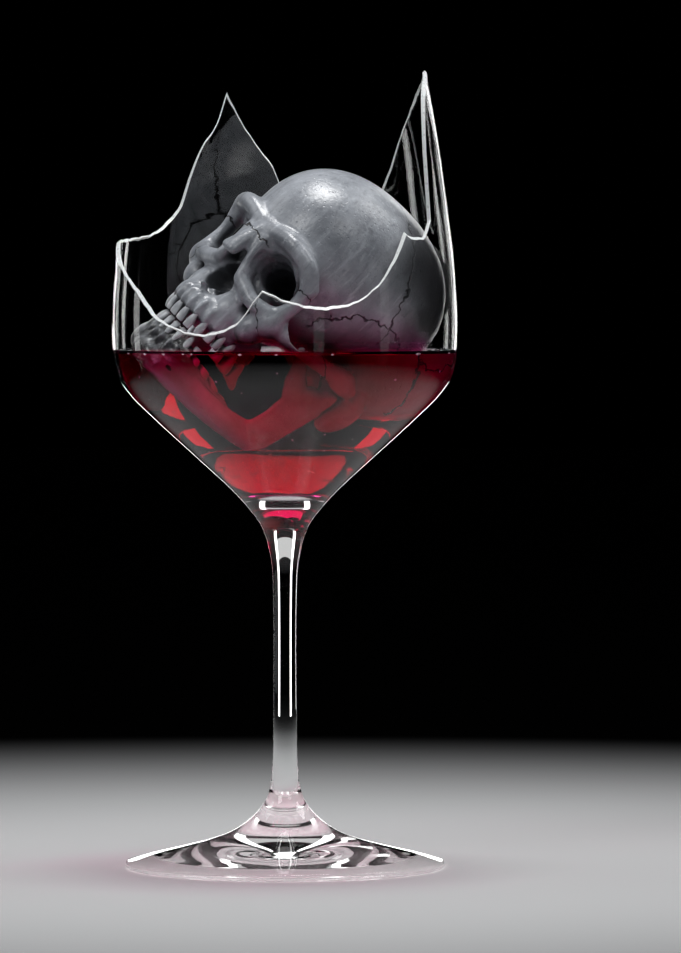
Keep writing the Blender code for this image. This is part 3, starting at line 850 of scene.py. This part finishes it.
deselect_all()
clay = strand([(0, -90, -80), (14, -88, -79), (30, -74, -76), (42, -45, -72), (48, -14, -66)],
              [(9, 7, 10), (9, 7, 10), (6, 8, 11), (5.5, 9, 12), (5, 9, 12)], 26)
clay += strand([(0, -90, -66), (13, -88, -66), (23, -78, -66), (28, -62, -66), (33, -44, -65)],
               [(7, 6, 7)] * 4 + [(5, 7, 8)], 18)
clay.append(lump((0, -94, -83), (13, 6, 8)))                    # chin
clay += strand([(48, -16, -62), (50, -16, -40), (51, -12, -24)],
               [(4.5, 15, 12), (4, 15, 12), (4, 12, 12)], 10)
clay += strand([(51, -10, -24), (52, -8, -10)], [(4, 7, 8), (9, 5, 4.5)], 5)
clay += strand([(50, -26, -24), (48, -33, -9)], [(3.5, 8, 8), (3, 4, 4)], 5)
for across, back, half_width in tooth_arch[:6]:
    clay += pair((across * 0.94, -94.5 + back * 0.97, -71), (half_width * 0.55, half_width * 0.8 + 1.0, 8.0))
jaw = join("jaw_bone", clay)
skin_over(jaw, 1.35, 8)
hollow = join("jaw_hollows", pair((26, -86, -77), (2.0, 7, 1.6)))
cut_away(jaw, hollow)
lay_down(jaw)
jaw.data.materials.append(bone_material("grey_jaw_bone", False, -0.0685, -0.0640))
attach(jaw, "root")
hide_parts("jaw")
shade_from_strips(jaw)


# ------------------------------------------------------------------------------------------------------------
# The teeth. Thirty-two, each with a crown and a root set in the bone, cast in a paler, glossier grey.
# ------------------------------------------------------------------------------------------------------------

# Each kind as (height from the gum, width, depth) rings from the root to the biting edge, in parts of the size.
tooth_kinds = {
    "incisor": [(-7.0, 0.30, 0.35), (-2.0, 0.55, 0.75), (0.0, 0.66, 0.86), (3.5, 0.93, 0.90), (7.5, 1.00, 0.62),
                (9.6, 0.96, 0.34), (10.0, 0.86, 0.22)],
    "canine": [(-8.0, 0.30, 0.40), (-2.0, 0.62, 0.85), (0.0, 0.74, 0.95), (3.5, 1.00, 1.02), (7.0, 0.86, 0.80),
               (9.6, 0.45, 0.42), (10.4, 0.16, 0.16)],
    "molar": [(-7.0, 0.60, 0.60), (-2.0, 0.80, 0.84), (0.0, 0.85, 0.90), (3.0, 1.00, 1.00), (6.0, 0.97, 0.98),
              (7.6, 0.80, 0.80), (7.0, 0.42, 0.42), (6.4, 0.10, 0.10)],
}


def tooth_shape(rings):
    """One tooth, a millimetre in half width and half depth, drawn out ring by ring from its root."""
    deselect_all()
    bpy.ops.mesh.primitive_circle_add(vertices=16, radius=MM, fill_type="NGON")
    made = bpy.context.object
    bpy.ops.object.mode_set(mode="EDIT")
    bpy.ops.transform.resize(value=(rings[0][1], rings[0][2], 1.0))
    bpy.ops.transform.translate(value=(0.0, 0.0, rings[0][0] * MM))
    for low, high in zip(rings, rings[1:]):
        bpy.ops.mesh.extrude_region_move(
            TRANSFORM_OT_translate={"value": (0.0, 0.0, (high[0] - low[0]) * MM)})
        bpy.ops.transform.resize(value=(high[1] / low[1], high[2] / low[2], 1.0))
    bpy.ops.mesh.select_all(action="SELECT")
    bpy.ops.mesh.normals_make_consistent(inside=False)
    bpy.ops.object.mode_set(mode="OBJECT")
    for vert in made.data.vertices:                     # squarer than round, as teeth are
        reach = math.hypot(vert.co.x, vert.co.y) or 1.0
        across, along = vert.co.x / reach, vert.co.y / reach
        fuller = (abs(across) ** 2.8 + abs(along) ** 2.8) ** (-1 / 2.8) if reach > 1e-6 else 1.0
        vert.co.x *= fuller
        vert.co.y *= fuller
    return made


tooth_shapes = {kind: tooth_shape(rings) for kind, rings in tooth_kinds.items()}


def tooth_row(name, front, gum, inset, up):
    deselect_all()
    row = []
    for i, (across, back, half_width) in enumerate(tooth_arch):
        kind = "incisor" if i < 2 else "canine" if i == 2 else "molar"
        before, after = tooth_arch[max(i - 1, 0)], tooth_arch[min(i + 1, len(tooth_arch) - 1)]
        slope = math.atan2(after[1] - before[1], after[0] - before[0]) if i else 0.0
        narrow = 0.88 if i > 2 or not up else 0.72
        width = half_width * narrow
        thick = half_width * 0.95 if i > 2 else 3.3
        for side in (1, -1):
            tooth = copy_of(tooth_shapes[kind])
            tooth.matrix_world = (
                Matrix.Translation((side * across * (1 - inset / 31.0) * MM, (front + back + inset) * MM, gum * MM))
                @ Matrix.Rotation(side * slope, 4, "Z") @ Matrix.Rotation(0.0 if up else math.pi, 4, "Y")
                @ Matrix.Diagonal((width, thick, 1.0, 1.0)))
            row.append(tooth)
    whole = join(name, row)
    apply_modifier(whole, "SUBSURF", levels=1, render_levels=1)
    lay_down(whole)
    return whole


enamel, nodes, links, shader = new_material("grey_enamel")
place = nodes.new("ShaderNodeTexCoord").outputs["Object"]
clouds = noise(nodes, links, place, Scale=260.0, Detail=5.0)
colour = mix_colour(nodes, links, range_node(nodes, links, clouds, 0.4, 0.7),
                    (0.50, 0.52, 0.54), (0.32, 0.335, 0.36))
# Painted shade: ambient occlusion darkens the enamel to near black in the narrow gaps between the teeth.
shade = new_node(nodes, "ShaderNodeAmbientOcclusion", samples=8)
shade.inputs["Distance"].default_value = 0.003
painted_crevice_shade = range_node(nodes, links, shade.outputs["AO"], 0.30, 0.80, 1.0, 0.0)
colour = mix_colour(nodes, links, painted_crevice_shade, colour, (0.02, 0.02, 0.024))
levels = nodes.new("ShaderNodeSeparateXYZ")
links.new(place, levels.inputs["Vector"])
stained = range_node(nodes, links, levels.outputs["Z"], (wine_level + 0.2) * MM, (wine_level + 1.5) * MM, 1.0, 0.0)
# The wine stain on the teeth is painted darker in those gaps too, as painted shade.
stain = mix_colour(nodes, links, painted_crevice_shade, (0.92, 0.22, 0.32), (0.12, 0.005, 0.015))
links.new(mix_colour(nodes, links, stained, colour, stain), shader.inputs["Base Color"])
shader.inputs["Roughness"].default_value = 0.28
add_relief(nodes, links, shader, clouds, 0.25, 0.1)
for name, front, gum, inset, up in (("upper_teeth", -97.0, -43.0, 0.0, False),
                                    ("lower_teeth", -96.0, -64.0, 2.0, True)):
    row = tooth_row(name, front, gum, inset, up)
    row.data.materials.append(enamel)
    shade_from_strips(row)
    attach(row, "root")
for shape in tooth_shapes.values():
    bpy.data.objects.remove(shape, do_unlink=True)
